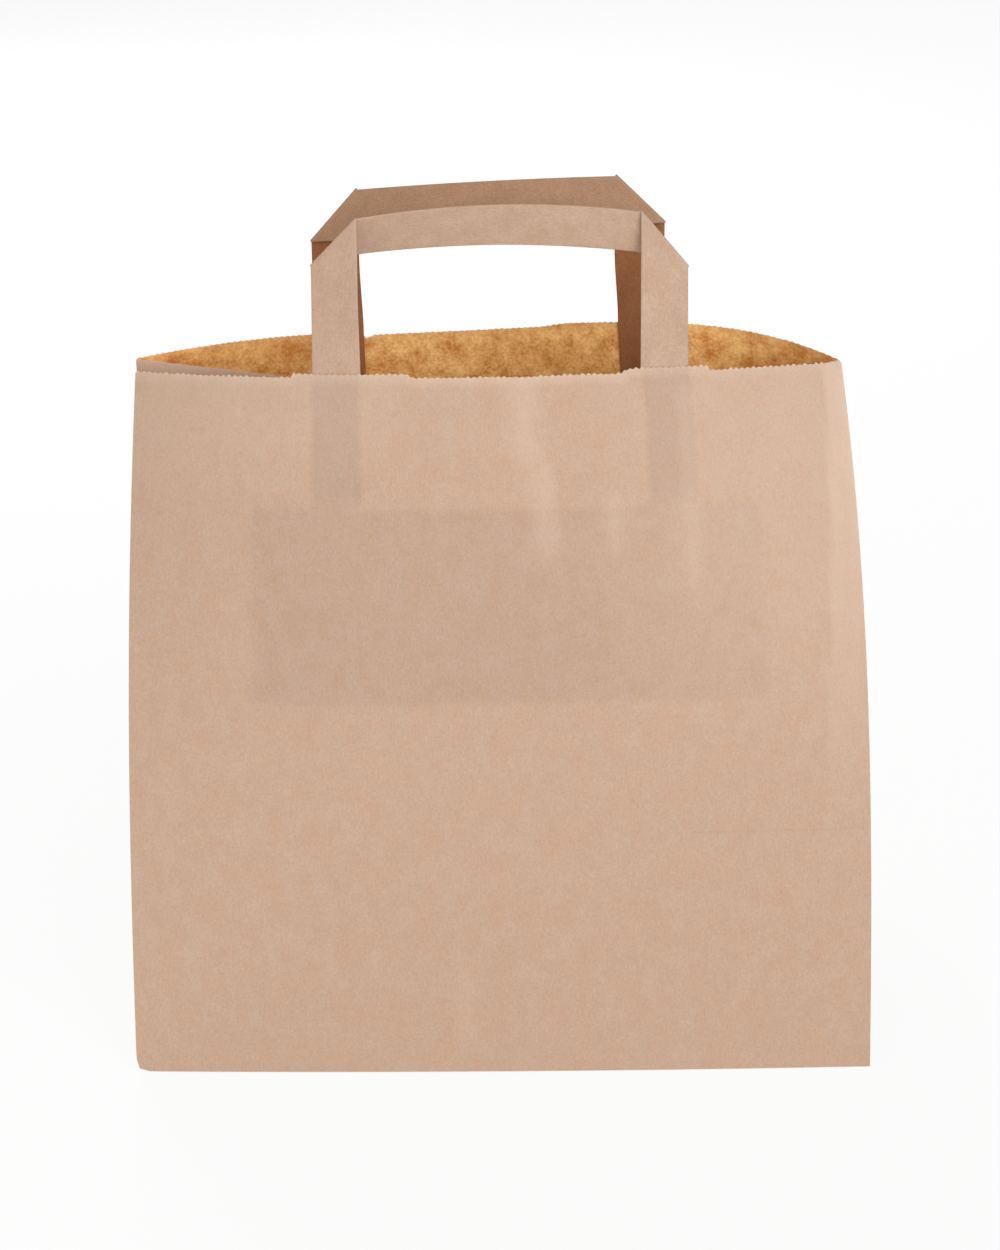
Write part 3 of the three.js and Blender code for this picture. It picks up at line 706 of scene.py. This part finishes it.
def handlePatch(name, face, material):
    # a paper patch raised over the legs of a strap, folded double along its lower part
    handle = handles[face]
    edge = strap["width"] / 2 + strap["glueGap"]
    across = np.linspace(-patch["width"] / 2, patch["width"] / 2, patch["columns"] + 1)
    rows = np.unique(np.concatenate([np.linspace(patchLow, patchTop, patch["rows"] + 1),
                                     [patchFold, patchFold + patch["foldStep"]]]))
    legEnd = sheet["height"] - strap["below"] - strap["glueGap"]
    beside = np.abs(np.abs(across) - handle["pitch"] / 2) - edge
    over = 1 - np.clip(beside / patch["ramp"], 0, 1)
    above = 1 - np.clip((legEnd - rows) / patch["ramp"], 0, 1)
    raised = (strap["thick"] + strap["glueGap"]) * over[None, :] * above[:, None]
    thick = np.where(rows <= patchFold, 2, 1) * sheet["ply"]
    distance = sheet["ply"] + strap["glueGap"] + raised + thick[:, None] / 2
    s, t = np.meshgrid(handle["centre"] + across, rows)
    surface = insidePanel(face, s, t, distance)
    half = np.repeat(thick[:, None] / 2, len(across), 1)
    wear = np.zeros(surface.shape[:2])
    wear[[0, -1]] = patch["edgeWear"]
    return closedStrip(name, surface, half, half, rows, across, [material], {"wear": wear, "plies": 0 * wear})


print("mesh functions ready")


# Materials

def addNode(tree, kind, settings=()):
    # keys are a socket's name or number, or the node's own setting; a socket as value is linked
    made = tree.nodes.new(kind)
    for key, value in dict(settings).items():
        if isinstance(value, bpy.types.NodeSocket):
            tree.links.new(value, made.inputs[key])
        elif isinstance(key, int) or key in made.inputs:
            made.inputs[key].default_value = hexLinear(value) if isinstance(value, str) else value
        else:
            setattr(made, key, value)
    return made


def newMaterial(name):
    # a material with an empty node tree
    material = bpy.data.materials.new(name)
    material.use_nodes = True
    material.node_tree.nodes.clear()
    return material, material.node_tree


def paperPattern(tree, layers):
    # sum of noises around a half on the paper's own map, each with its size across and along the web
    # in millimetres, detail, roughness and weight; real fibres are finer and wouldn't show in the render
    paperMap = addNode(tree, "ShaderNodeUVMap", {"uv_map": "paper"})
    total = 0.5 - sum(layer[-1] for layer in layers) / 2
    for acrossMm, alongMm, detail, roughness, weight in layers:
        scaled = addNode(tree, "ShaderNodeMapping", {
            "Vector": paperMap.outputs["UV"], "Scale": (1 / (acrossMm * mm), 1 / (alongMm * mm), 1)})
        noise = addNode(tree, "ShaderNodeTexNoise", {
            "Vector": scaled.outputs["Vector"], "Scale": 1, "Detail": detail, "Roughness": roughness})
        added = addNode(tree, "ShaderNodeMath", {
            "operation": "MULTIPLY_ADD", 0: noise.outputs["Fac"], 1: weight, 2: total})
        total = added.outputs[0]
    return total


def paperColour(tree, tone, dark, light, tints):
    # from dark to light by the tone, then each tint is laid over that by its own share;
    # a colour mix has its share at socket 0 and its colours at 6 and 7, and gives its colour at 2
    colour = addNode(tree, "ShaderNodeMix", {"data_type": "RGBA", 0: tone, 6: dark, 7: light}).outputs[2]
    for blend, share, tint in tints:
        laid = addNode(tree, "ShaderNodeMix", {
            "data_type": "RGBA", "blend_type": blend, 0: share, 6: colour, 7: tint})
        colour = laid.outputs[2]
    return colour


def finishPaper(tree, colour, tone, paper):
    # matt paper, smoother where its tone is light, its fine relief from the same pattern as its colour
    smoothest, roughest = paper["roughness"]
    rough = addNode(tree, "ShaderNodeMapRange", {
        "Value": tone, "From Min": 0.2, "From Max": 0.8, "To Min": roughest, "To Max": smoothest})
    bump = addNode(tree, "ShaderNodeBump", {
        "Height": tone, "Strength": paper["bump"], "Distance": paper["bumpMm"] * mm})
    shader = addNode(tree, "ShaderNodeBsdfPrincipled", {
        "IOR": 1.45, "Specular IOR Level": 0.25, "Base Color": colour,
        "Roughness": rough.outputs["Result"], "Normal": bump.outputs["Normal"]})
    addNode(tree, "ShaderNodeOutputMaterial", {"Surface": shader.outputs["BSDF"]})


kraft = {
    "dark": "#af8f79",
    "light": "#c7ad99",
    "warm": "#fff8f1",  # tint of the slow clouds
    "behind": "#f0f1f4",  # painted shade where more paper lies behind the sheet
    # colour of the cut edge, also the colour towards which the front panel's painted light mixes
    "cut": "#e6cfbb",
    # long fibres along the web, short fibres, grit and mottling
    "layers": [(0.6, 9, 2, 0.6, 0.25), (0.45, 2, 2, 0.6, 0.7), (0.8, 0.8, 2, 0.7, 0.9), (6, 9, 3, 0.7, 0.32)],
    "clouds": [(9, 13, 6, 0.78, 1)],
    "cloudRange": (0.4, 0.62),
    "roughness": (0.72, 0.9),
    "bump": 0.35,
    "bumpMm": 0.03,
}


def ribbedKraft():
    # machine-glazed kraft: even tan with short fibres along the web and slow warm clouds, almost no gloss;
    # painted shade where paper lies behind and, through the wear mix, painted light
    material, tree = newMaterial("ribbed_kraft_outer")
    tone = paperPattern(tree, kraft["layers"])
    thin, full = kraft["cloudRange"]
    cloud = addNode(tree, "ShaderNodeMapRange", {
        "Value": paperPattern(tree, kraft["clouds"]), "From Min": thin, "From Max": full})
    plies = addNode(tree, "ShaderNodeAttribute", {"attribute_name": "plies"})
    wear = addNode(tree, "ShaderNodeAttribute", {"attribute_name": "wear"})
    colour = paperColour(tree, tone, kraft["dark"], kraft["light"], [
        ("MULTIPLY", cloud.outputs["Result"], kraft["warm"]),
        # painted shade where more paper lies behind
        ("MULTIPLY", plies.outputs["Fac"], kraft["behind"]),
        # cut edge's colour by the wear attribute, which also lays the front panel's painted light
        ("MIX", wear.outputs["Fac"], kraft["cut"]),
    ])
    finishPaper(tree, colour, tone, kraft)
    return material


# inner face: the raw face's orange brown, brightened into a painted glow of light shining through the paper
rawKraftGlow = {
    "dark": "#cd833c",
    "light": "#ffd38a",
    "cut": "#f0c890",
    "layers": [(8, 8.5, 6, 0.74, 3.2), (1.1, 1.2, 2, 0.7, 1.5)],
    "roughness": (0.8, 0.95),
    "bump": 0.3,
    "bumpMm": 0.03,
}


def glowingKraft():
    # raw inner face of kraft: orange brown, cloudy where the pulp lies unevenly, brightened into a painted
    # glow of light shining through the paper
    material, tree = newMaterial("kraft_inner_painted_glow")
    tone = paperPattern(tree, rawKraftGlow["layers"])
    # the wear attribute also lays the front panel's painted light on this face
    wear = addNode(tree, "ShaderNodeAttribute", {"attribute_name": "wear"})
    colour = paperColour(tree, tone, rawKraftGlow["dark"], rawKraftGlow["light"],
                         [("MIX", wear.outputs["Fac"], rawKraftGlow["cut"])])
    finishPaper(tree, colour, tone, rawKraftGlow)
    return material


sawnKraft = {
    "dark": "#d9bda4",
    "light": "#f2e2d2",
    "layers": [(0.6, 0.6, 2, 0.6, 0.8)],
    "roughness": (0.85, 0.97),
    "bump": 0.3,
    "bumpMm": 0.03,
}


def cutKraft():
    # torn and sawn paper edge: pale loose fibres
    material, tree = newMaterial("sawn_kraft_edge")
    tone = paperPattern(tree, sawnKraft["layers"])
    colour = paperColour(tree, tone, sawnKraft["dark"], sawnKraft["light"], [])
    finishPaper(tree, colour, tone, sawnKraft)
    return material


pressedKraft = {
    "tones": {  # dark and light; the rear strap's darker tones, darkest on its inner face, are painted shade
        "pressed_kraft_strap_front": ("#ad8e77", "#c3a590"),
        "painted_shade_kraft_strap_rear": ("#937359", "#b08b6f"),
        "painted_shade_kraft_strap_rear_inside": ("#875536", "#a06f4a"),
        "glued_kraft_patch": ("#bf8f5e", "#d9ae80"),
    },
    "layers": [(0.5, 2.2, 2, 0.6, 1.0), (0.8, 0.8, 2, 0.7, 1.4), (7, 10, 4, 0.65, 1.2)],
    "roughness": (0.72, 0.9),
    "bump": 0.35,
    "bumpMm": 0.03,
}


def strapKraft(name):
    # several plies of kraft pressed flat: short fibres along the strap, edges a little paler
    dark, light = pressedKraft["tones"][name]
    material, tree = newMaterial(name)
    tone = paperPattern(tree, pressedKraft["layers"])
    wear = addNode(tree, "ShaderNodeAttribute", {"attribute_name": "wear"})
    colour = paperColour(tree, tone, dark, light, [("MIX", wear.outputs["Fac"], light)])
    finishPaper(tree, colour, tone, pressedKraft)
    return material


# Pieces

print("building the sheet")
bag = bagSheet([ribbedKraft(), glowingKraft(), cutKraft()])
print("building the straps and patches")
frontFace = strapKraft("pressed_kraft_strap_front")
# the rear strap's materials are darker copies of the front's: painted shade, darkest on its inner face
rearShadedFace = strapKraft("painted_shade_kraft_strap_rear")
rearShadedInner = strapKraft("painted_shade_kraft_strap_rear_inside")
frontStrap = handleStrap("front_strap", front, frontFace, frontFace)
rearStrap = handleStrap("rear_strap", back, rearShadedFace, rearShadedInner)
patchPaper = strapKraft("glued_kraft_patch")
frontPatch = handlePatch("front_patch", front, patchPaper)
rearPatch = handlePatch("rear_patch", back, patchPaper)

for piece, nodeName, slotName in (
    (bag, "bag_body", "kraft_sheet"),
    (frontStrap, "front_handle", "kraft_strap"),
    (rearStrap, "rear_handle", "kraft_strap"),
    (frontPatch, "front_handle_patch", "kraft_patch"),
    (rearPatch, "rear_handle_patch", "kraft_patch"),
):
    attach(piece, "root")
    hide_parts(nodeName)
    print(piece.name, len(piece.data.polygons), "triangles")


# Stage, light and camera, in metres

stage = {
    "floor": 12.0,
    "floorDrop": 0.0002,  # just under the base
    "floorColour": "#f4f3f1",
    "seenColour": "#ffffff",
    "shadowShare": 0.09,  # part of the shaded floor that the camera sees
    "world": 0.22,
    "sky": 0.95,  # strength of the world where it is seen
}


def seenDirectly(tree):
    # 1 for rays from the camera, a mirror or glass, 0 for scattered light
    rays = addNode(tree, "ShaderNodeLightPath").outputs
    clear = addNode(tree, "ShaderNodeMath", {
        "operation": "ADD", 0: rays["Is Camera Ray"], 1: rays["Is Glossy Ray"]})
    clear = addNode(tree, "ShaderNodeMath", {
        "operation": "ADD", 0: clear.outputs[0], 1: rays["Is Transmission Ray"]})
    clear = addNode(tree, "ShaderNodeMath", {
        "operation": "SUBTRACT", "use_clamp": True, 0: clear.outputs[0], 1: rays["Is Diffuse Ray"]})
    return clear.outputs[0]


def paleFloor():
    # matt pale floor that the camera sees as near white, with part of the shadow kept
    mesh = bpy.data.meshes.new("floor")
    half = stage["floor"] / 2
    corners = [(-half, -half, 0), (half, -half, 0), (half, half, 0), (-half, half, 0)]
    mesh.from_pydata(corners, [], [(0, 1, 2, 3)])
    floor = bpy.data.objects.new("floor", mesh)
    bpy.context.collection.objects.link(floor)
    floor.location.z = -stage["floorDrop"]
    material, tree = newMaterial("pale_floor")
    matt = addNode(tree, "ShaderNodeBsdfDiffuse", {"Color": stage["floorColour"]})
    glow = addNode(tree, "ShaderNodeEmission", {"Color": stage["seenColour"], "Strength": 1.0})
    seen = addNode(tree, "ShaderNodeMath", {
        "operation": "MULTIPLY", 0: seenDirectly(tree), 1: 1 - stage["shadowShare"]})
    mixed = addNode(tree, "ShaderNodeMixShader", {0: seen.outputs[0], 1: matt.outputs[0], 2: glow.outputs[0]})
    addNode(tree, "ShaderNodeOutputMaterial", {"Surface": mixed.outputs[0]})
    mesh.materials.append(material)


def whiteWorld():
    # soft even light that is seen as white
    world = bpy.data.worlds.new("studio")
    bpy.context.scene.world = world
    world.use_nodes = True
    tree = world.node_tree
    tree.nodes.clear()
    light = addNode(tree, "ShaderNodeMapRange", {
        "Value": seenDirectly(tree), "To Min": stage["world"], "To Max": stage["sky"]})
    glow = addNode(tree, "ShaderNodeBackground", {
        "Color": stage["seenColour"], "Strength": light.outputs["Result"]})
    addNode(tree, "ShaderNodeOutputWorld", {"Surface": glow.outputs[0]})


softboxes = [
    {"name": "key", "place": (0.75, -1.95, 1.08), "aim": (0, 0, 0.14), "size": 1.75, "watts": 42.5},
    {"name": "fill", "place": (-1.2, -1.5, 0.9), "aim": (0, 0, 0.14), "size": 1.2, "watts": 8},
    {"name": "back", "place": (-0.5, 1.7, 1.1), "aim": (0, 0, 0.14), "size": 1.2, "watts": 30},
]


def softbox(name, place, aim, size, watts):
    # square lamp turned to its aim
    lamp = bpy.data.lights.new(name, "AREA")
    lamp.shape = "SQUARE"
    lamp.size = size
    lamp.energy = watts
    made = bpy.data.objects.new(name, lamp)
    made.visible_camera = False
    bpy.context.collection.objects.link(made)
    away = unit(np.array(place) - np.array(aim))
    side = unit(np.cross([0, 0, 1], away))
    turn = Matrix(np.stack([side, np.cross(away, side), away], 1).tolist()).to_4x4()
    made.matrix_world = Matrix.Translation(place) @ turn


camera = {
    "place": (-0.168 * mm, -1202.05 * mm, 558.26 * mm),
    "pitch": 19.3,  # degrees down
    "roll": -0.39,
    "lens": 100.58,
    "sensor": 36,  # height
}


def photoCamera():
    # level camera tipped down by its pitch, then rolled about its own axis
    lens = bpy.data.cameras.new("photo_camera")
    lens.sensor_fit = "VERTICAL"
    lens.sensor_height = camera["sensor"]
    lens.lens = camera["lens"]
    made = bpy.data.objects.new("photo_camera", lens)
    bpy.context.collection.objects.link(made)
    tip = Matrix.Rotation(math.radians(90 - camera["pitch"]), 4, "X")
    roll = Matrix.Rotation(math.radians(camera["roll"]), 4, "Z")
    made.matrix_world = Matrix.Translation(camera["place"]) @ tip @ roll
    bpy.context.scene.camera = made


print("setting the stage")
paleFloor()
whiteWorld()
for settings in softboxes:
    softbox(**settings)
photoCamera()
bpy.context.scene.view_settings.view_transform = "Standard"

print("done")
